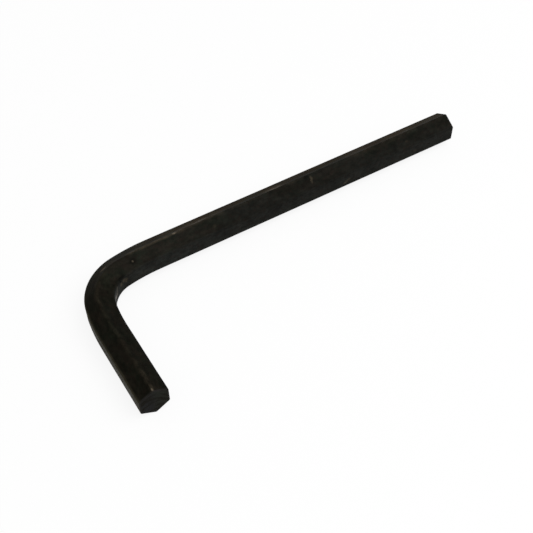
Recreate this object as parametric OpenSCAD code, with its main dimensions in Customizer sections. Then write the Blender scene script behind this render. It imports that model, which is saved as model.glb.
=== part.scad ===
// Hex key: one bar of hexagonal steel, bent once into an L.
// Sizes are in millimetres and +Z is up. The key lies as it rests on a bench, on the lowest corner
// edge of each arm. The long arm runs along +X, the short arm along -Y, and the origin is the
// centre of the key's footprint, on the surface that the key lies on.

/* [Bar] */
// Width of the hexagon between two opposite flats, which is the size of socket that the key turns
across_flats = 6; // [3:0.5:10]
// How far each of the six corner edges is trimmed back from a sharp hexagon's
corner_trim = 0.06; // [0.02:0.01:0.2]

/* [Arms] */
// Length of the long arm, from its tip to the outer face of the short arm
long_arm = 95; // [60:1:200]
// Length of the short arm, from its tip to the outer face of the long arm
short_arm = 35; // [28:1:80]
// Width of the bevel that breaks the sharp rim of each tip
tip_bevel = 0.2; // [0.05:0.05:0.5]

/* [Bend] */
// Inside radius of the tight middle of the bend
bend_inside_radius = 6.25; // [4:0.25:10]
// Distance along the long arm from the tight curve's centre to the long arm's gentle curve's
long_centre_along = 6; // [3:0.1:9]
// Distance square to the long arm from the tight curve's centre to the long arm's gentle curve's
long_centre_away = 29.7; // [18:0.1:60]
// Distance along the short arm from the tight curve's centre to the short arm's gentle curve's
short_centre_along = 5.2; // [2:0.1:8]
// Distance square to the short arm from the tight curve's centre to the short arm's gentle curve's
short_centre_away = 33.6; // [18:0.1:60]

/* [Hidden] */
$fn = 48;
black_steel = [0.09, 0.085, 0.075];

// The section: a hexagon with one corner up, so that two of its flats stand upright. Its corners
// are trimmed to a circle, as those of a drawn bar are.
sides = 6;
side_angle = 360 / sides;
half_flats = across_flats / 2;
sharp_corner = half_flats / cos(side_angle / 2);
half_corners = sharp_corner - corner_trim;

// The bend is a three-centred curve: a tight arc between two gentle ones. Two arcs meet square to
// the line through both their centres, so their radii differ by the distance between the centres.
tight_centre = [0, 0];
long_centre = [long_centre_along, -long_centre_away];
short_centre = [short_centre_away, -short_centre_along];
tight_radius = bend_inside_radius + half_flats;
long_radius = tight_radius + norm(long_centre);
short_radius = tight_radius + norm(short_centre);

// The straight lines that the middles of the two arms run along.
long_line_y = long_centre.y + long_radius;
short_line_x = short_centre.x - short_radius;
// What is left of each arm beyond the bend is straight.
long_straight = long_arm - half_flats - (long_centre.x - short_line_x);
short_straight = short_arm - half_flats - (long_line_y - short_centre.y);

// Points on the lines between the arcs, and on the lines where the straights begin. They lie well
// outside the bar, because they are the outer corners of the sectors that hold the arcs.
outside = 3;
long_joint = -outside * long_centre;
short_joint = -outside * short_centre;
long_start = [long_centre.x, outside * long_radius];
short_start = [-outside * short_radius, short_centre.y];

// The bend is drawn round its tight centre, and then the key moves so that its footprint's centre is
// over the origin and its lowest edges are at zero.
to_frame = [
    half_flats - short_line_x - long_arm / 2,
    short_arm / 2 - half_flats - long_line_y,
    half_corners
];

// The cutting blocks at the tips reach well past the bar, whatever its size.
cutter = 2 * across_flats;

// The bar's section, with Y of the section up and X of the section towards the outside of the bend.
module bar_section() {
    intersection() {
        rotate(90)
            circle(r = sharp_corner, $fn = sides);
        circle(r = half_corners);
    }
}

// One arc of the bend: the sector of a ring of the bar, between two points as seen from its centre.
module bend_arc(centre, radius, from, to) {
    intersection() {
        translate(centre)
            rotate_extrude()
                translate([radius, 0])
                    bar_section();
        translate([0, 0, -across_flats])
            linear_extrude(2 * across_flats)
                polygon([centre, from, to]);
    }
}

// Six cuts at 45 degrees round a tip that faces +X, one along each flat.
module rim_cuts() {
    for (k = [0:sides - 1])
        rotate([k * side_angle, 0, 0])
            translate([0, half_flats - tip_bevel, 0])
                rotate([0, 0, -45])
                    translate([-cutter, 0, -cutter])
                        cube([2 * cutter, cutter, 2 * cutter]);
}

// A straight length that starts at the origin and runs along +X to a bevelled tip.
module straight_to_tip(length) {
    difference() {
        rotate([0, 90, 0])
            rotate(90)
                linear_extrude(length)
                    bar_section();
        translate([length, 0, 0])
            rim_cuts();
    }
}

module hex_key() {
    color(black_steel)
        translate(to_frame) {
            translate([long_centre.x, long_line_y, 0])
                straight_to_tip(long_straight);
            bend_arc(long_centre, long_radius, long_start, long_joint);
            bend_arc(tight_centre, tight_radius, long_joint, short_joint);
            bend_arc(short_centre, short_radius, short_joint, short_start);
            translate([short_line_x, short_centre.y, 0])
                rotate(-90)
                    straight_to_tip(short_straight);
        }
}

hex_key();
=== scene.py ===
# %% [markdown]
# # A hex key, from a straight bar to a worn tool
#
# The real thing is one length of hexagonal steel bar. It was cut off square at both ends, bent once
# into an L, and blackened in a hot salt bath, which leaves a thin dark oxide instead of paint. Then
# it was handled: the oxide has rubbed through to brown along the upper edge.
#
# There is so little to it that the small things carry the likeness: corners that are rounded and
# not sharp, a bend that is tight in the middle and eases out on both sides, rims that the cutting
# left, and a black that is never one black.
#
# The lesson goes the way the real key was made: draw the bar, bend it, cut its ends, wear it,
# blacken it, and then put it on a table in front of a camera. The first cell opens the frame that
# the solid part gives. Everything below is placed in that frame, in metres.

# %% Open the frame
import math

import bmesh
import bpy
from mathutils import Matrix, Vector, noise


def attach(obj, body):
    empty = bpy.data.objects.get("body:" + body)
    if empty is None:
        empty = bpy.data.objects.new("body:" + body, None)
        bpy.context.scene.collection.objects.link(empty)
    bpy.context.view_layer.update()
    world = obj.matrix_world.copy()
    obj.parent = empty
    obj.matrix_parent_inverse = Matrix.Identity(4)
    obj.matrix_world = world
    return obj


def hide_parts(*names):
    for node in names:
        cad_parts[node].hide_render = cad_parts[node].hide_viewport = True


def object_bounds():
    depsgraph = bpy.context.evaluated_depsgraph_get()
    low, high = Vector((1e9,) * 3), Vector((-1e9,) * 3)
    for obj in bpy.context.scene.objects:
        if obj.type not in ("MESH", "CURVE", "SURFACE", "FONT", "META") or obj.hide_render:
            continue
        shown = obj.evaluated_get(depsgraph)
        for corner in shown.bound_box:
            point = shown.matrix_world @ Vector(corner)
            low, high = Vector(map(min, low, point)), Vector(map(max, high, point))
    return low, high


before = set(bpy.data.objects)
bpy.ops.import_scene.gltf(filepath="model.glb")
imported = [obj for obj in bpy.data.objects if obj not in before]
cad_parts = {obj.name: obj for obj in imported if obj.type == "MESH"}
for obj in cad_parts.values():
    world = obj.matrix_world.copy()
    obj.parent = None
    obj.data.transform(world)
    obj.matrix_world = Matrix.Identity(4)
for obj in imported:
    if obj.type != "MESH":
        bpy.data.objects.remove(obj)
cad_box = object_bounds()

MM = 0.001
box_low, box_high = cad_box


def in_mm(values):
    """Lengths to print, in millimetres."""
    return [round(value / MM, 3) for value in values]


print("the solid's box in mm:", in_mm(box_high - box_low))

# %% [markdown]
# ## The camera
#
# The picture looks down on the key from above its short arm. A camera could be nudged by eye until
# the outline seems right, but a straight bar shows every error of perspective, so this one was
# solved from the outline: its place, two angles and a slight roll, and the length of the lens.
#
# A Blender camera looks along its own -Z with its +Y up. It starts by looking straight down. The
# roll comes first, then the pitch lifts its gaze, and the yaw turns it to the right.

# %% Place the camera
camera_place = Vector((-72.521, -103.224, 142.832)) * MM
camera_yaw = math.radians(31.114)
camera_pitch = math.radians(49.326)
camera_roll = math.radians(-0.514)
focal_in_pixels = 904.80
picture_width = 533
sensor_width = 36


def put_in_scene(name, data):
    """Makes an object from a camera, a mesh or a lamp, and links it to the scene."""
    made = bpy.data.objects.new(name, data)
    bpy.context.scene.collection.objects.link(made)
    return made


camera_data = bpy.data.cameras.new("camera")
camera_data.sensor_width = sensor_width
camera_data.lens = focal_in_pixels * sensor_width / picture_width
camera_data.clip_start = 0.01
camera_data.clip_end = 20
camera = put_in_scene("camera", camera_data)
camera.matrix_world = (
    Matrix.Translation(camera_place)
    @ Matrix.Rotation(-camera_yaw, 4, "Z")
    @ Matrix.Rotation(math.pi / 2 - camera_pitch, 4, "X")
    @ Matrix.Rotation(camera_roll, 4, "Z")
)
bpy.context.scene.camera = camera
print("lens in mm:", round(camera_data.lens, 2))

# %% [markdown]
# ## The bar's section
#
# The bar is a hexagon, 6 mm between opposite flats, and the key lies on its lowest corners, so one
# corner of the hexagon points straight up. The die that drew the bar leaves the corners rounded.
#
# A circle of six segments is a hexagon. Bevelling its corner points, and not its edges, rounds it.
# The rounding is chosen by how far it takes the corner back, which is what can be measured: a
# profile of 0.5 cuts the corner back by 1 - sqrt(1/2) of the bevel's offset when the corner is 120
# degrees. The flats are then divided too, so that later steps have points to move.

# %% Draw the section
sides = 6
across_flats = 6 * MM
half_flats = across_flats / 2
half_side_angle = math.pi / sides
sharp_corner = half_flats / math.cos(half_side_angle)
middle_height = (box_low.z + box_high.z) / 2
corner_reach = box_high.z - middle_height
corner_offset = (sharp_corner - corner_reach) / (1 - math.sqrt(0.5))
corner_segments = 4
flat_segments = 12
bar = bmesh.new()


def round_off(geometry, offset, segments, affect):
    """Bevels corner points or edges of the bar with a round profile."""
    bmesh.ops.bevel(
        bar,
        geom=geometry,
        offset=offset,
        offset_type="OFFSET",
        segments=segments,
        profile=0.5,
        affect=affect,
        material=-1,
    )


bmesh.ops.create_circle(bar, cap_ends=False, radius=sharp_corner, segments=sides)
round_off(bar.verts[:], corner_offset, corner_segments, "VERTICES")
long_edges = [edge for edge in bar.edges if edge.calc_length() > half_flats / 2]
bmesh.ops.subdivide_edges(bar, edges=long_edges, cuts=flat_segments - 1)
print("points round the section:", len(bar.verts))

# %% [markdown]
# ## Where the bar runs
#
# The middle of the bar follows a straight line, three arcs and another straight line. A bend made
# with one arc alone looks bought from a catalogue: a real bar that is pulled round a former is
# tight where it touches the former, and the curve eases out on both sides.
#
# Two arcs meet without a kink where they share a tangent, which means that both centres lie on one
# line through the joint. So it is enough to place the centres, and each outer arc's radius is the
# tight one plus the distance between the centres.

# %% Set out the bend
bend_inside_radius = 6.25 * MM
tight_radius = bend_inside_radius + half_flats
to_long_centre = Vector((6.0, -29.7)) * MM
to_short_centre = Vector((33.6, -5.2)) * MM
long_radius = tight_radius + to_long_centre.length
short_radius = tight_radius + to_short_centre.length

long_line_y = box_high.y - half_flats
short_line_x = box_low.x + half_flats
tight_centre = Vector((
    short_line_x + short_radius - to_short_centre.x,
    long_line_y - long_radius - to_long_centre.y,
))
long_centre = tight_centre + to_long_centre
short_centre = tight_centre + to_short_centre
long_turn = math.atan2(to_long_centre.x, -to_long_centre.y)
short_turn = math.atan2(-to_short_centre.y, to_short_centre.x)
tight_turn = math.pi / 2 - long_turn - short_turn

long_straight = box_high.x - long_centre.x
short_straight = short_centre.y - box_low.y
long_curve_at = long_straight
tight_curve_at = long_curve_at + long_radius * long_turn
short_curve_at = tight_curve_at + tight_radius * tight_turn
short_straight_at = short_curve_at + short_radius * short_turn
bar_length = short_straight_at + short_straight
print("start and end of the bend in mm:", in_mm((long_curve_at, short_straight_at)))
print("length of the bar in mm:", in_mm((bar_length,)))

# %% [markdown]
# ## Drawing out and bending the bar
#
# The section stands up at the tip of the long arm, and the spin operator carries it along. With an
# angle, spin turns the ring of edges round a centre, as the bender does. With a step and no angle
# it pushes the ring straight on. Each call takes up the last ring of the call before, so the whole
# bar is one skin without a seam.
#
# Sweeping the section along a curve object would give the same form, but it leaves the ends and the
# spacing of the rings to the curve. Here the rings are a quarter of a millimetre apart everywhere.

# %% Draw out the bar
ring_spacing = 0.25 * MM
out_of_bend, upward, along_arm = Vector((0, 1, 0)), Vector((0, 0, 1)), Vector((1, 0, 0))
stand_up = Matrix((out_of_bend, upward, along_arm)).transposed().to_4x4()
stand_up.translation = Vector((box_high.x, long_line_y, middle_height))
bmesh.ops.transform(bar, matrix=stand_up, verts=bar.verts[:])
first_rim = bar.edges[:]


def edges_of(geometry):
    return [item for item in geometry if isinstance(item, bmesh.types.BMEdge)]


def push_on(ring, direction, length):
    """Carries a ring of edges straight on, and returns the last ring."""
    steps = round(length / ring_spacing)
    made = bmesh.ops.spin(bar, geom=ring, dvec=direction * length / steps, steps=steps)
    return edges_of(made["geom_last"])


def turn_on(ring, centre, radius, angle):
    """Turns a ring of edges round a centre, and returns the last ring."""
    steps = round(radius * angle / ring_spacing)
    made = bmesh.ops.spin(
        bar, geom=ring, cent=(centre.x, centre.y, 0), axis=(0, 0, 1), angle=angle, steps=steps
    )
    return edges_of(made["geom_last"])


ring = push_on(first_rim, Vector((-1, 0, 0)), long_straight)
ring = turn_on(ring, long_centre, long_radius, long_turn)
ring = turn_on(ring, tight_centre, tight_radius, tight_turn)
ring = turn_on(ring, short_centre, short_radius, short_turn)
last_rim = push_on(ring, Vector((0, -1, 0)), short_straight)
print("faces on the drawn bar:", len(bar.faces))

# %% [markdown]
# ## Cutting the ends
#
# Both tips are cut off square, and their rims are broken by a small bevel, so that the key slips
# into a socket. Each rim gets a lid and is bevelled. The lid is one large face, which can't take
# any relief, so it is swapped for rings: the edge of the hole is pulled inwards step by step, and
# the last ring is merged into a point. Scaled rings never fold over each other at the rounded
# corners, as insets would.

# %% Cut the ends
tip_bevel = 0.2 * MM
bevel_segments = 3
lid_steps = 13


def middle_of(verts):
    return sum((vert.co for vert in verts), Vector()) / len(verts)


def close_tip(rim):
    """Bevels a rim and closes it with rings of small faces."""
    lid = bmesh.ops.holes_fill(bar, edges=rim, sides=0)["faces"][0]
    bmesh.ops.recalc_face_normals(bar, faces=bar.faces[:])
    round_off(lid.edges[:], tip_bevel, bevel_segments, "EDGES")
    lid = max(bar.faces, key=lambda face: len(face.verts))
    edges = lid.edges[:]
    middle = middle_of(lid.verts)
    to_middle = Matrix.Translation(-middle)
    bmesh.ops.delete(bar, geom=[lid], context="FACES_ONLY")
    for left in range(lid_steps, 0, -1):
        made = bmesh.ops.extrude_edge_only(bar, edges=edges)["geom"]
        verts = [item for item in made if isinstance(item, bmesh.types.BMVert)]
        edges = [edge for edge in edges_of(made) if all(vert in verts for vert in edge.verts)]
        if left == 1:
            bmesh.ops.pointmerge(bar, verts=verts, merge_co=middle)
        else:
            shrink = (left - 1) / left
            bmesh.ops.scale(bar, vec=(shrink,) * 3, space=to_middle, verts=verts)


close_tip(first_rim)
close_tip(last_rim)
bmesh.ops.recalc_face_normals(bar, faces=bar.faces[:])
print("faces with the ends:", len(bar.faces))

# %% [markdown]
# ## Places on the bar
#
# Marks and wear are easiest to describe on the bar as it was before bending: so far along it, so
# far towards the outside of the bend, so far up. This cell works the bending backwards. It asks
# which of the five stretches a point is in, and then measures along that stretch. The same three
# numbers will be kept on the mesh, and the steel's pattern will read them, so its drawn grain
# follows the bend.

# %% Find places on the bar


def round_centre(point, centre):
    """A point's angle round a centre, from straight ahead of the long arm, and its distance."""
    offset = point - centre
    return math.atan2(-offset.x, offset.y), offset.length


def place_on_bar(point):
    """How far along the bar, out of the bend and up from the middle a point lies."""
    flat = point.xy
    up = point.z - middle_height
    turned = round_centre(flat, tight_centre)[0]
    if flat.x >= long_centre.x:
        return Vector((box_high.x - flat.x, flat.y - long_line_y, up))
    if turned <= long_turn:
        angle, distance = round_centre(flat, long_centre)
        return Vector((long_curve_at + long_radius * angle, distance - long_radius, up))
    if turned <= long_turn + tight_turn:
        angle, distance = round_centre(flat, tight_centre)
        along = tight_curve_at + tight_radius * (angle - long_turn)
        return Vector((along, distance - tight_radius, up))
    if flat.y >= short_centre.y:
        angle, distance = round_centre(flat, short_centre)
        along = short_curve_at + short_radius * (angle - long_turn - tight_turn)
        return Vector((along, distance - short_radius, up))
    return Vector((short_straight_at + short_centre.y - flat.y, short_line_x - flat.x, up))


def to_tip(along):
    """How far a place along the bar is from the nearer tip."""
    return min(along, bar_length - along)


short_tip = Vector((short_line_x, box_low.y, middle_height))
print("the short tip's place on the straight bar in mm:", in_mm(place_on_bar(short_tip)))

# %% [markdown]
# ## Marks of making and use
#
# Every mark is a spot on the bar, with a reach along and across it, and a depth. The small round
# pit near the bend is narrower than the mesh is fine, so the faces round the smallest marks are
# divided first.

# %% List the marks
# Each line: along, out and up in mm, half length and half width in mm, depth in mm.
dents = [
    (81.50, -1.49, 2.61, 0.34, 0.34, 0.10),
    (85.40, -3.00, 0.87, 1.00, 0.60, 0.08),
    (87.05, -3.00, 0.70, 0.60, 0.45, 0.06),
    (86.20, -2.76, 1.88, 2.00, 0.45, 0.06),
    (38.00, -0.85, 2.95, 0.30, 0.75, 0.07),
    (29.85, -3.00, -0.50, 0.90, 0.45, 0.05),
    (86.90, 1.05, 2.82, 0.70, 0.35, 0.05),
    (62.50, -1.80, 2.42, 0.40, 0.32, 0.04),
    (12.80, -1.60, 2.50, 0.45, 0.35, 0.04),
    (70.60, 0.05, 3.40, 0.45, 0.30, 0.04),
    (118.60, -0.05, 3.40, 0.42, 0.32, 0.05),
]
small_half_length = 0.5
small_spots = [spot for *spot, depth in dents if spot[3] < small_half_length]
fine_reach = 2.2
fine_cuts = 3


def near(place, spot, reach=1.0):
    """0 outside a spot and 1 at its middle. reach widens the spot."""
    along, out, up, half_length, half_width = spot
    from_along = (place.x / MM - along) / (half_length * reach)
    if abs(from_along) >= 1:
        return 0.0
    across = math.hypot(place.y / MM - out, place.z / MM - up) / (half_width * reach)
    distance = math.hypot(from_along, across)
    return (1 - distance * distance) ** 2 if distance < 1 else 0.0


def by_small_spot(edge):
    """Whether an edge lies on one of the smallest marks, or close round it."""
    place = place_on_bar(middle_of(edge.verts))
    return any(near(place, spot, fine_reach) > 0 for spot in small_spots)


fine_edges = [edge for edge in bar.edges if by_small_spot(edge)]
bmesh.ops.subdivide_edges(bar, edges=fine_edges, cuts=fine_cuts, use_grid_fill=True)
print("faces with the fine patches:", len(bar.faces))

# %% [markdown]
# ## Curves and ripples
#
# The bend changes the bar's shape little by little, from nothing to most and back to nothing. A few
# stops along the bar and a smooth curve through them say how much. What no plan gives, such as how
# uneven a flat is, comes from smooth noise. Its scales are in millimetres and differ along and
# across the bar, because a drawn bar is more even along its length.

# %% Set out the curves and the ripples
# Each pair: a place along the bar in mm, and the lean there in mm.
lean_of_ridge = [
    (80, 0.0),
    (88, 0.22),
    (93, 0.40),
    (97, 0.25),
    (102, 0.08),
    (110, -0.10),
    (119, 0.0),
]
# Each pair: a place along the bar in mm, and the share of the full swelling there.
in_bend = [(82, 0.0), (88, 0.7), (91, 1.0), (96, 0.8), (101, 0.0)]


def eased(stops, along):
    """Reads a smooth curve through pairs of a place in mm and a value."""
    at = along / MM
    if at <= stops[0][0]:
        return stops[0][1]
    for (start, low), (end, high) in zip(stops, stops[1:]):
        if at <= end:
            share = (at - start) / (end - start)
            return low + (high - low) * share * share * (3 - 2 * share)
    return stops[-1][1]


def ripple(place, seed, *scales):
    """Smooth noise from -1 to 1 over the straight bar, with its own scale along, out and up."""
    return noise.noise(Vector([seed + value / MM / scale for value, scale in zip(place, scales)]))


def outward_at(point, along):
    """The level direction out of the bend, for a point this far along the bar."""
    if along <= long_curve_at:
        return Vector((0, 1, 0))
    if along >= short_straight_at:
        return Vector((-1, 0, 0))
    centre = short_centre
    if along < tight_curve_at:
        centre = long_centre
    elif along < short_curve_at:
        centre = tight_centre
    return (point.xy - centre).normalized().to_3d()


print("most lean of the upper and lower corners in mm:", max(lean for _, lean in lean_of_ridge))

# %% [markdown]
# ## Shaping one by one
#
# Bending does more than turn the bar. On the inside the metal has nowhere to go, so the flat swells
# and wrinkles a little. The upper and lower corners lean outwards where they were pulled round.
# Cutting pushed the metal over at the ends and left low ridges across them. And no flat of a drawn
# bar is quite flat.
#
# All of this is small moves of points, so it is done the way a sculptor would, each point along its
# normal or along the bar. On the straight arms everything goes inwards or sideways: the key must
# still fit its socket.

# %% Shape the bar
flat_edge_up = sharp_corner / 2
ridge_height = corner_reach - flat_edge_up
cut_depth = 0.02 * MM
# Heights and depths in mm.
slow_unevenness = 0.012
fine_unevenness = 0.006
swell_height = 0.05
wrinkle_depth = 0.02
cut_ridge_height = 0.05
pushed_height = 0.12
# The swelling begins at this share of the way to the inner flat, and rises over the rest of it.
swell_from = 0.8
swell_share = 0.2
# How fast the wrinkles follow each other, in radians for each mm of the bar.
wrinkle_rate = 6.5
# The ridges on a cut end are arches, and drop by this times the square of the way from their top.
arch_of_cut = 0.17 / MM
arch_top = 1.0 * MM
# The scale of the ridges in mm.
cut_ridge_spacing = 0.62
# The metal is pushed over past this share of the way to the outer side, and more lower down.
pushed_from = 0.55
pushed_slant = 0.35

straight_bar = bar.verts.layers.float_vector.new("straight_bar")
cut_end = bar.verts.layers.float.new("cut_end")
bar.normal_update()
moves = {}
for vert in bar.verts:
    place = place_on_bar(vert.co)
    vert[straight_bar] = place
    along, out, up = place
    on_cut = to_tip(along) < cut_depth
    vert[cut_end] = 1.0 if on_cut else 0.0

    move = Vector()
    # The flats are not quite flat, and small dents go straight in.
    depth = slow_unevenness * (1 + ripple(place, 3.1, 9.0, 2.4, 2.4))
    depth += fine_unevenness * (1 + ripple(place, 8.7, 1.6, 0.9, 0.9))
    for *spot, deepest in dents:
        depth += deepest * near(place, spot)
    if not on_cut:
        move -= vert.normal * depth * MM

    # The corners lean outwards in the bend, and the inner flat swells and wrinkles.
    outward = outward_at(vert.co, along)
    share_up = max(0.0, abs(up) - flat_edge_up) / ridge_height
    move += outward * eased(lean_of_ridge, along) * MM * share_up
    inside = max(0.0, -out / half_flats - swell_from) / swell_share
    swell = max(0.0, 1 - (up / flat_edge_up) ** 2)
    wave = along / MM * wrinkle_rate + 2 * ripple(place, 5.5, 2.0, 2.0, 2.0)
    height = swell_height - wrinkle_depth * (0.5 + 0.5 * math.sin(wave))
    move -= outward * eased(in_bend, along) * inside * swell * height * MM

    # The cut ends have arched ridges, and metal pushed over at the lower outer side.
    if on_cut:
        across = up + arch_of_cut * (out - arch_top) ** 2
        on_arch = Vector((out, across, across))
        ridges = 0.5 + 0.5 * ripple(on_arch, 11.3, 9.0, cut_ridge_spacing, cut_ridge_spacing)
        pushed = max(0.0, (out - up * pushed_slant) / half_flats - pushed_from) ** 1.5
        inwards = Vector((-1, 0, 0)) if along < bar_length / 2 else Vector((0, 1, 0))
        move += inwards * (cut_ridge_height * ridges + pushed_height * pushed) * MM
    moves[vert] = move
for vert, move in moves.items():
    vert.co += move
print("largest move in mm:", in_mm((max(move.length for move in moves.values()),)))

# %% [markdown]
# ## Where the black has rubbed through, with painted light and shade
#
# Wear on a blackened tool isn't an even line along its edges. It comes in patches: brown where the
# oxide is thin, and bare metal in a few spots where something hit it. Some brown patches along the
# upper corner are partly painted highlights, where the corner catches the light. The dark patches
# are painted shade in and beside dents, in creases and round the pit. They could be painted by hand
# on a picture wrapped round the key. A list of spots does the same with numbers that can be read
# and changed.

# %% List the patches
# Each line: along, out and up in mm, half length and half width in mm, brown, bare.
# Some brown patches along the upper corner are partly painted highlights, where the corner catches
# the light.
wear_and_highlight_patches = [
    (4.0, 1.2, 2.77, 10.0, 2.4, 0.32, 0.0),
    (14.0, 1.2, 2.77, 9.0, 2.4, 0.32, 0.0),
    (24.0, 1.2, 2.77, 7.0, 2.4, 0.30, 0.0),
    (46.9, 0.8, 3.0, 4.0, 1.1, 0.60, 0.0),
    (46.6, 0.55, 3.12, 2.6, 0.45, 1.00, 0.20),
    (41.5, 0.0, 3.4, 3.5, 0.55, 0.20, 0.0),
    (54.5, 0.0, 3.4, 6.5, 0.55, 0.22, 0.0),
    (60.5, 0.7, 3.05, 2.6, 1.6, 0.30, 0.0),
    (62.5, 0.15, 3.38, 2.8, 0.45, 0.45, 0.0),
    (66.0, 0.7, 3.05, 4.8, 1.3, 0.75, 0.0),
    (65.8, 0.5, 3.15, 3.6, 0.50, 0.95, 0.14),
    (69.8, 0.2, 3.35, 2.4, 0.7, 0.75, 0.0),
    (71.0, 0.05, 3.4, 0.7, 0.35, 1.00, 0.40),
    (75.0, 0.05, 3.4, 6.5, 0.50, 0.85, 0.04),
    (80.5, 0.3, 3.3, 3.2, 0.7, 0.50, 0.0),
    (80.3, 0.12, 3.38, 1.9, 0.45, 0.80, 0.02),
    (86.0, 0.9, 2.95, 3.5, 1.0, 0.22, 0.0),
    (87.0, 1.05, 2.84, 1.1, 0.42, 0.85, 0.08),
    (90.5, 0.20, 3.4, 3.0, 1.05, 0.20, 0.0),
    (94.0, -0.1, 3.35, 3.0, 1.00, 0.24, 0.0),
    (97.8, -0.25, 3.3, 3.2, 0.95, 0.14, 0.0),
    (103.0, -0.05, 3.4, 4.2, 0.75, 0.12, 0.0),
    (108.0, 0.0, 3.4, 4.0, 0.75, 0.11, 0.0),
    (112.0, 0.0, 3.4, 3.0, 0.75, 0.20, 0.0),
    (115.3, -0.15, 3.3, 3.2, 0.75, 0.36, 0.0),
    (117.8, -0.15, 3.35, 1.6, 0.50, 0.50, 0.0),
    (118.60, -0.05, 3.4, 0.42, 0.30, 1.00, 0.40),
    (88.5, -1.4, 2.6, 5.0, 2.2, 0.06, 0.0),
    (85.85, -3.0, 0.98, 0.90, 0.82, 1.00, 0.0),
    (85.0, -3.0, 0.62, 0.90, 0.78, 0.95, 0.0),
    (87.05, -3.0, 0.62, 0.80, 0.68, 0.90, 0.0),
    (89.40, -3.0, 1.25, 0.45, 0.60, 0.40, 0.08),
    (89.80, -3.0, 0.60, 0.45, 0.60, 0.50, 0.16),
    (90.25, -3.0, -0.05, 0.50, 0.60, 0.60, 0.28),
    (91.30, -3.0, 0.0, 0.80, 0.55, 1.00, 0.24),
    (92.10, -3.0, 0.30, 0.70, 0.50, 1.00, 0.34),
    (37.95, -0.85, 2.97, 0.40, 0.75, 0.70, 0.05),
    (38.2, -1.45, 2.62, 0.38, 0.65, 0.60, 0.04),
    (29.6, -3.0, -0.3, 1.4, 0.6, 0.32, 0.02),
    (29.3, -3.0, 0.0, 0.50, 0.35, 0.50, 0.06),
    (29.65, -3.0, -0.35, 0.45, 0.35, 0.60, 0.10),
    (29.95, -3.0, -0.60, 0.45, 0.32, 0.65, 0.14),
    (30.35, -3.0, -0.68, 0.42, 0.30, 0.60, 0.10),
    (62.6, -1.8, 2.42, 0.6, 0.5, 0.22, 0.0),
    (12.8, -1.7, 2.5, 0.6, 0.5, 0.22, 0.0),
    (10.9, -3.0, -0.3, 0.8, 0.5, 0.20, 0.0),
    (81.56, -1.44, 2.64, 0.34, 0.34, 0.1, 0.22),
]
# Each line: along, out and up in mm, half length and half width in mm, dark. The dark is painted
# shade in and beside dents, in creases and round the pit.
shade_patches = [
    (81.56, -1.44, 2.64, 1.05, 1.05, 0.75),
    (86.5, -3.0, 0.85, 0.32, 0.75, 0.8),
    (86.2, -2.76, 1.88, 2.2, 0.48, 0.95),
    (87.25, -3.0, 1.45, 0.7, 0.55, 0.95),
    (38.9, -0.3, 3.28, 0.9, 0.50, 0.6),
]
print("worn patches:", len(wear_and_highlight_patches), " dark patches:", len(shade_patches))

# %% [markdown]
# ## Painting the points
#
# A number on each point says how brown, how bare and how much painted shade it has, painted from
# the lists, with a faint, broken line of brown along every corner. The brown also carries painted
# highlights along the upper corner, and the painted shade takes in the inner corner below the upper
# flat. A fourth number marks the rims of the tips, which the cutting left paler. The material turns
# the numbers into colours. A number on a point goes with the point, round the bend too, which a
# pattern placed in the room would not.

# %% Paint the wear
patch_gain = 1.6
# Patches that are longer to each side than this, in mm, are broken up by a ripple.
broken_half_length = 2
corner_brown = 0.25
inner_corner_shade = 0.32
inner_corner_reach = 1.1 * MM
# A point on a corner is farther from the middle than a point on a flat.
corner_from = 0.93 * corner_reach
corner_width = 0.07 * corner_reach
rim_width = 0.15 * MM
# The brown number also carries painted highlights, and the dark number is painted shade.
brown_wear_and_highlight = bar.verts.layers.float.new("brown_wear_and_highlight")
bare_wear = bar.verts.layers.float.new("bare_wear")
painted_shade = bar.verts.layers.float.new("painted_shade")
pale_rim = bar.verts.layers.float.new("pale_rim")


def filled(amount):
    """Makes the middle of a patch even, and keeps its edge soft."""
    return min(1.0, patch_gain * amount)


for vert in bar.verts:
    place = vert[straight_bar]
    along, out, up = place
    brown = bare = 0.0
    for *spot, full_brown, full_bare in wear_and_highlight_patches:
        amount = near(place, spot)
        if amount > 0:
            if spot[3] > broken_half_length:
                amount *= 0.9 + 0.9 * ripple(place, 33.0, 1.8, 1.1, 1.1)
            brown = max(brown, full_brown * filled(amount))
            bare = max(bare, full_bare * filled(amount))
    dark = max(full_shade * filled(near(place, spot)) for *spot, full_shade in shade_patches)
    # The inner corner below the upper flat is a little darker: painted shade.
    from_corner = math.hypot(out + half_flats, up - flat_edge_up)
    by_corner = max(0.0, 1 - from_corner / inner_corner_reach)
    vert[painted_shade] = max(dark, inner_corner_shade * by_corner)
    cornered = max(0.0, (math.hypot(out, up) - corner_from) / corner_width)
    broken = max(0.0, ripple(place, 21.0, 4.0, 1.2, 1.2) + 0.05)
    vert[brown_wear_and_highlight] = max(brown, corner_brown * min(1.0, cornered) * min(1.0, broken))
    vert[bare_wear] = bare
    # All over the bevel of a tip, the depth below the flats and the depth below the cut add up to
    # the bevel's width. They add up to more as a point moves off it to either side.
    slanted = abs(out) / 2 + abs(up) * math.cos(half_side_angle)
    below_flats = half_flats - max(abs(out), slanted)
    off_bevel = below_flats + to_tip(along) - tip_bevel
    on_bevel = min(1.0, max(0.0, 1 - off_bevel / rim_width))
    vert[pale_rim] = on_bevel * (0.65 + 0.55 * ripple(place, 14.0, 1.0, 1.1, 1.1))
print("points with brown wear:", sum(vert[brown_wear_and_highlight] > 0.05 for vert in bar.verts))

# %% [markdown]
# ## From points to an object
#
# The bar is finished as a mesh. Its doubles are merged first and its normals turned outwards after
# that. Smooth shading is right for all of it, because every edge that looks sharp is really a
# narrow round with points of its own.

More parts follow.
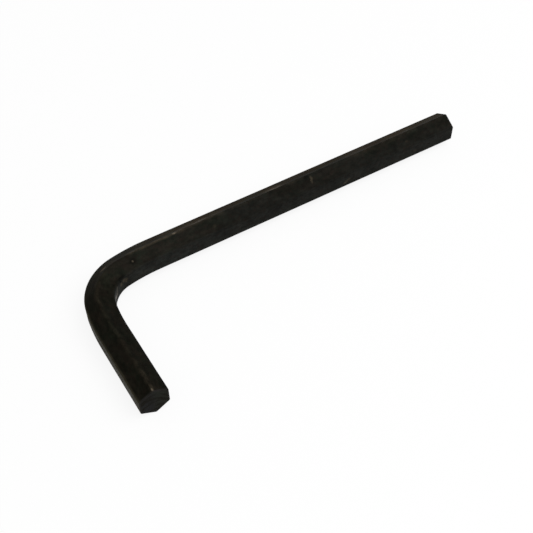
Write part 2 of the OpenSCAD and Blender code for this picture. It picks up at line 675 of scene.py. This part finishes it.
# %% Make the object
merge_distance = 0.0005 * MM
bmesh.ops.remove_doubles(bar, verts=bar.verts[:], dist=merge_distance)
bmesh.ops.recalc_face_normals(bar, faces=bar.faces[:])
for face in bar.faces:
    face.smooth = True
open_edges = sum(not edge.is_manifold for edge in bar.edges)
volume = bar.calc_volume() / MM**3
mesh = bpy.data.meshes.new("bent_bar")
bar.to_mesh(mesh)
bar.free()
bent_bar = put_in_scene("bent_bar", mesh)
triangles = sum(len(polygon.vertices) - 2 for polygon in mesh.polygons)
print("triangles:", triangles, " open edges:", open_edges, " volume in mm3:", round(volume, 1))

# %% [markdown]
# ## Words for nodes
#
# A material is a tree of small nodes, and each does one thing. Written out node by node and link by
# link, a long tree hides what it is for. These helpers let one step of it read as one line: stretch
# a pattern, read a number off the mesh, mix two colours by a mask.

# %% Make helpers for materials
def new_material(name):
    material = bpy.data.materials.new(name)
    material.use_nodes = True
    tree = material.node_tree
    tree.nodes.clear()
    return material, tree


def add(tree, kind, inputs=(), **settings):
    """Adds a node, sets its properties, and fills its inputs with numbers or with links."""
    node = tree.nodes.new(kind)
    for key, value in settings.items():
        setattr(node, key, value)
    for key, value in dict(inputs).items():
        if isinstance(value, bpy.types.NodeSocket):
            tree.links.new(value, node.inputs[key])
        else:
            node.inputs[key].default_value = value
    return node


def math_of(tree, operation, *values, clamp=False):
    inputs = dict(enumerate(values))
    node = add(tree, "ShaderNodeMath", inputs, operation=operation, use_clamp=clamp)
    return node.outputs[0]


def times(tree, first, second, clamp=False):
    return math_of(tree, "MULTIPLY", first, second, clamp=clamp)


def plus(tree, first, second):
    return math_of(tree, "ADD", first, second)


def mix_colour(tree, factor, first, second, way="MIX"):
    """Mixes colours. A Mix node takes them at inputs 6 and 7, and gives one at output 2."""
    inputs = {0: factor, 6: first, 7: second}
    return add(tree, "ShaderNodeMix", inputs, data_type="RGBA", blend_type=way).outputs[2]


def times_colour(tree, first, second):
    return mix_colour(tree, 1.0, first, second, "MULTIPLY")


def stretch(tree, vector, *scale):
    """Coordinates in features per metre, with a scale of its own along, out and up."""
    node = add(tree, "ShaderNodeMapping", {"Vector": vector, "Scale": scale})
    return node.outputs["Vector"]


def speckle(tree, vector, detail, rough):
    inputs = {"Vector": vector, "Scale": 1.0, "Detail": detail, "Roughness": rough}
    return add(tree, "ShaderNodeTexNoise", inputs).outputs["Fac"]


def remap(tree, value, low, high, to_low=0.0, to_high=1.0):
    """Turns the range from low to high into another, and holds what lies beyond it."""
    inputs = {"Value": value, "From Min": low, "From Max": high}
    inputs.update({"To Min": to_low, "To Max": to_high})
    return add(tree, "ShaderNodeMapRange", inputs, clamp=True).outputs["Result"]


def attribute(tree, name, socket="Fac"):
    return add(tree, "ShaderNodeAttribute", attribute_name=name).outputs[socket]


on_points = [layer.name for layer in mesh.attributes if layer.domain == "POINT"]
print("what a material can read on the points:", on_points)

# %% [markdown]
# ## Black oxide
#
# Black oxide is not paint. It is a skin of magnetite, a thousandth of a millimetre thick, and oil
# fills its pores. Head on it is nearly black with an olive cast, and at a grazing angle it shines.
#
# It isn't painted the same all over the key. The short arm is painted darker, as painted shade.
# The flats that stand upright are painted a paler grey, and the short arm's outer side a pale
# sheen, both painted reflection of the white table and backdrop. The long arm's outer half before
# the bend is painted browner, partly rubbed brown and partly painted sheen. The long arm near the
# bend is paler and a little bluer. Each stretch is a mask from 0 to 1, found from the places on the
# straight bar.

# %% Find the stretches
steel, tree = new_material("black_oxide_steel")
places = attribute(tree, "straight_bar", "Vector")
# The brown mask also carries painted highlights, and the dark mask is painted shade.
brown_and_highlight_mask = attribute(tree, "brown_wear_and_highlight")
bare_mask = attribute(tree, "bare_wear")
shade_mask = attribute(tree, "painted_shade")
rim_mask = attribute(tree, "pale_rim")
cut_mask = attribute(tree, "cut_end")

axes = add(tree, "ShaderNodeSeparateXYZ", {"Vector": places}).outputs
along_bar = axes["X"]
out_of_middle = axes["Y"]
up_from_middle = axes["Z"]
side_band = (2.6 * MM, 2.95 * MM)
on_short_arm = remap(tree, along_bar, 80 * MM, 93 * MM)
on_long_arm = math_of(tree, "SUBTRACT", 1.0, on_short_arm)
on_side = remap(tree, math_of(tree, "ABSOLUTE", out_of_middle), *side_band)
on_outer_half = times(tree, remap(tree, out_of_middle, 0.2 * MM, 1.2 * MM), on_long_arm)
on_outer_side = times(tree, remap(tree, out_of_middle, *side_band), on_short_arm)
near_bend = times(tree, remap(tree, along_bar, 56 * MM, 70 * MM), on_long_arm)
before_bend = math_of(tree, "SUBTRACT", 1.0, remap(tree, along_bar, 66 * MM, 84 * MM))
# The long arm's outer half before the bend, which is partly rubbed brown and partly painted sheen.
brown_and_sheen_half = times(tree, on_outer_half, before_bend)
print("nodes for the stretches:", len(tree.nodes))

# %% [markdown]
# ## Patterns in the oxide
#
# Every pattern is noise over the straight bar, with scales in features per metre: slow patches and
# clouds, a bloom, small specks, a fine speckle, and the long grain of the die. The cutting left
# ridges that arch across the ends. Their pattern is bent into the same arch as the relief, so that
# the colour runs the same way as the shape.

# %% Lay out the patterns
patches = speckle(tree, stretch(tree, places, 240, 420, 420), 4.0, 0.6)
fine = speckle(tree, stretch(tree, places, 900, 1300, 1300), 4.0, 0.65)
grain = speckle(tree, stretch(tree, places, 70, 4200, 4200), 2.0, 0.5)
specks = speckle(tree, stretch(tree, places, 1300, 1600, 1600), 1.0, 0.5)
clouds = speckle(tree, stretch(tree, places, 330, 480, 480), 2.0, 0.5)
bloom = speckle(tree, stretch(tree, places, 60, 200, 200), 2.0, 0.5)

from_arch_top = math_of(tree, "SUBTRACT", out_of_middle, arch_top)
arch = times(tree, times(tree, from_arch_top, from_arch_top), arch_of_cut)
up_the_cut = plus(tree, up_from_middle, arch)
on_cut_face = add(tree, "ShaderNodeCombineXYZ", {"Y": out_of_middle, "Z": up_the_cut}).outputs[0]
ridges = speckle(tree, stretch(tree, on_cut_face, 1, 260, 1150), 3.0, 0.6)
cut_outer_side = remap(tree, out_of_middle, -0.8 * MM, 1.0 * MM)
print("nodes with the patterns:", len(tree.nodes))

# %% [markdown]
# ## Colours in layers
#
# The colour is built up in layers. The oxide comes first: olive and brown-black patches, a grey
# bloom, a paler grey on the upright flats that is painted reflection, reddish specks, clouds, the
# tints of the stretches, which paint shade on the short arm and partly sheen on the long arm's
# outer half, a painted sheen on the short arm's outer side, and the fine speckle. Then come the cut
# ends and their rims. What use did comes last, with painted light among it: the brown where it wore
# thin, which also paints highlights along the upper corner, the painted shade in dents and creases,
# and the bare metal. Wear is broken up by the speckle and the grain, so that it never ends in a
# smooth line.

# %% Layer the colours
olive = (0.0073, 0.0082, 0.0056, 1)
brown_black = (0.0112, 0.0096, 0.0072, 1)
grey_bloom = (0.0102, 0.0106, 0.0090, 1)
red_speck = (0.0130, 0.0086, 0.0068, 1)
# Painted reflection: the upright flats are made a paler grey, as if they mirrored the white table.
side_reflection_grey = (0.0142, 0.0147, 0.0130, 1)
# Painted sheen: the pale, grazing shine of the short arm's outer side, put into its colour.
outer_side_sheen = (0.036, 0.032, 0.0195, 1)
cut_grey = (0.0176, 0.0188, 0.0148, 1)
cut_lilac = (0.0158, 0.0156, 0.0158, 1)
cut_dark = (0.0096, 0.0088, 0.0066, 1)
rim_grey = (0.0250, 0.0235, 0.0232, 1)
# Rubbed brown, which also paints the highlights along the upper corner.
rubbed_brown_and_highlight = (0.046, 0.037, 0.025, 1)
bare_steel = (0.17, 0.140, 0.10, 1)
no_tint = (1, 1, 1, 1)
# Painted shade: the short arm is made darker than the long arm.
short_arm_shade = (0.75, 0.75, 0.69, 1)
near_bend_tint = (1.32, 1.36, 1.40, 1)
# Partly rubbed brown and partly painted sheen, on the long arm's outer half before the bend.
brown_and_sheen_tint = (1.48, 1.14, 0.74, 1)
tints = ((on_short_arm, short_arm_shade), (near_bend, near_bend_tint), (brown_and_sheen_half, brown_and_sheen_tint))

colour = mix_colour(tree, remap(tree, patches, 0.38, 0.60), olive, brown_black)
colour = mix_colour(tree, remap(tree, bloom, 0.46, 0.66, 0.0, 0.7), colour, grey_bloom)
# The upright flats get their painted reflection here.
colour = mix_colour(tree, times(tree, on_side, 0.8), colour, side_reflection_grey)
colour = mix_colour(tree, remap(tree, specks, 0.52, 0.66, 0.0, 0.4), colour, red_speck)
colour = times_colour(tree, colour, remap(tree, clouds, 0.35, 0.65, 0.80, 1.24))
for stretch_mask, tint in tints:
    colour = times_colour(tree, colour, mix_colour(tree, stretch_mask, no_tint, tint))
# The painted sheen goes on the short arm's outer side here.
colour = mix_colour(tree, times(tree, on_outer_side, 0.9), colour, outer_side_sheen)
colour = times_colour(tree, colour, remap(tree, fine, 0.32, 0.68, 0.68, 1.32))

cut_pale = mix_colour(tree, cut_outer_side, cut_grey, cut_lilac)
cut_colour = mix_colour(tree, remap(tree, ridges, 0.38, 0.54), cut_dark, cut_pale)
colour = mix_colour(tree, cut_mask, colour, cut_colour)
colour = mix_colour(tree, times(tree, rim_mask, 0.85), colour, rim_grey)

# Brown wear, with painted highlights along the upper corner.
wear_and_highlight = times(tree, brown_and_highlight_mask, remap(tree, fine, 0.32, 0.62, 0.35, 1.25))
wear_and_highlight = times(tree, wear_and_highlight, remap(tree, grain, 0.35, 0.6, 0.6, 1.1), clamp=True)
colour = mix_colour(tree, wear_and_highlight, colour, rubbed_brown_and_highlight)
# Painted shade darkens the dents, the creases, the ring round the pit and the inner corner.
colour = times_colour(tree, colour, remap(tree, shade_mask, 0.0, 1.0, 1.0, 0.3))
bare = times(tree, bare_mask, remap(tree, fine, 0.35, 0.55, 0.5, 1.2), clamp=True)
colour = mix_colour(tree, bare, colour, bare_steel)
print("nodes with the colours:", len(tree.nodes))

# %% [markdown]
# ## Shine and relief
#
# The roughness and the bump come from the same patterns, so a rubbed place also shines in another
# way. The shine head on is set very low, because the oiled oxide mirrors almost nothing from above.
# The shader raises it at a grazing angle by itself, and that draws the pale edges of the key,
# together with the painted sheen on the short arm's outer side.

# %% Add the shine and the relief
rough_changes = ((on_outer_half, 0.14), (on_outer_side, 0.05), (cut_mask, 0.12), (wear_and_highlight, -0.06))
rough = remap(tree, patches, 0.3, 0.7, 0.34, 0.50)
rough = plus(tree, rough, remap(tree, fine, 0.3, 0.7, -0.05, 0.08))
for rough_mask, change in rough_changes:
    rough = plus(tree, rough, times(tree, rough_mask, change))

relief = plus(tree, times(tree, grain, 0.35), fine)
relief = plus(tree, relief, times(tree, cut_mask, ridges))
bump = add(tree, "ShaderNodeBump", {"Strength": 0.35, "Distance": 0.03 * MM, "Height": relief})

shader = add(tree, "ShaderNodeBsdfPrincipled", {
    "Base Color": colour,
    "Metallic": bare,
    "Roughness": rough,
    "Normal": bump.outputs["Normal"],
    "Specular IOR Level": 0.01,
})
add(tree, "ShaderNodeOutputMaterial", {"Surface": shader.outputs["BSDF"]})
mesh.materials.append(steel)
print("nodes in the steel:", len(tree.nodes))

# %% [markdown]
# ## The table and the white
#
# The picture has a plain white ground. Turning the lamps up until a grey table burns out would wash
# the black steel out as well. So the table is a plain pale sheet for the light that falls on it,
# and what the camera sees of it, straight or mirrored in the metal, is mostly its own even white. A
# part is left to the light, so that the key still throws a faint soft shadow.

# %% Lay the table
table_half_width = 4.0
table_mesh = bpy.data.meshes.new("table")
sheet = bmesh.new()
bmesh.ops.create_grid(sheet, x_segments=1, y_segments=1, size=table_half_width)
bmesh.ops.translate(sheet, vec=(0, 0, box_low.z), verts=sheet.verts[:])
sheet.to_mesh(table_mesh)
sheet.free()
table = put_in_scene("table", table_mesh)


def seen(tree):
    """1 for rays that come from the camera, straight or by way of metal or glass."""
    rays = add(tree, "ShaderNodeLightPath").outputs
    mirrored = math_of(tree, "MAXIMUM", rays["Is Glossy Ray"], rays["Is Transmission Ray"])
    return math_of(tree, "MAXIMUM", rays["Is Camera Ray"], mirrored)


white = (1, 1, 1, 1)
pale = (0.8, 0.8, 0.8, 1)
shadow_share = 0.12
shadow_grey = (shadow_share,) * 3 + (1,)
paper, tree = new_material("pale_table")
lit = add(tree, "ShaderNodeBsdfDiffuse", {"Color": pale}).outputs[0]
shadow_part = add(tree, "ShaderNodeBsdfDiffuse", {"Color": shadow_grey}).outputs[0]
own_white = {"Color": white, "Strength": 1 - shadow_share}
glow = add(tree, "ShaderNodeEmission", own_white).outputs[0]
shown = add(tree, "ShaderNodeAddShader", {0: shadow_part, 1: glow}).outputs[0]
surface = add(tree, "ShaderNodeMixShader", {0: seen(tree), 1: lit, 2: shown}).outputs[0]
add(tree, "ShaderNodeOutputMaterial", {"Surface": surface})
table_mesh.materials.append(paper)
print("the table's width in m:", 2 * table_half_width)

# %% [markdown]
# ## The light
#
# The light is that of a plain studio: a soft glow from all round, and one large lamp above the key
# and in front of it. The level is set so that a colour renders about as it is written. The lamp
# stands on the side that the long arm's near upper flat faces, so that flat is paler than the short
# arm's flats.

# %% Light the studio
world = bpy.data.worlds.new("studio")
bpy.context.scene.world = world
world.use_nodes = True
tree = world.node_tree
tree.nodes.clear()
soft_light = 0.45
around = add(tree, "ShaderNodeBackground", {"Color": white, "Strength": soft_light}).outputs[0]
backdrop = add(tree, "ShaderNodeBackground", {"Color": white, "Strength": 1.0}).outputs[0]
mixed = add(tree, "ShaderNodeMixShader", {0: seen(tree), 1: around, 2: backdrop}).outputs[0]
add(tree, "ShaderNodeOutputWorld", {"Surface": mixed})

lamp_distance = 0.8
lamp_direction = Vector((0.34, -0.38, 0.86)).normalized()
lamp_data = bpy.data.lights.new("lamp", "AREA")
lamp_data.shape = "SQUARE"
lamp_data.size = 0.8
lamp_data.energy = 5.0
lamp = put_in_scene("lamp", lamp_data)
lamp.location = lamp_direction * lamp_distance
lamp.rotation_euler = lamp_direction.to_track_quat("Z", "Y").to_euler()
print("the lamp's place in mm:", in_mm(lamp.location))

bpy.context.scene.view_settings.view_transform = "Standard"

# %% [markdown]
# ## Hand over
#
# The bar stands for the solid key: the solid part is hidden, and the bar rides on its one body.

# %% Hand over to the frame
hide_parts("hex_key")
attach(bent_bar, "root")
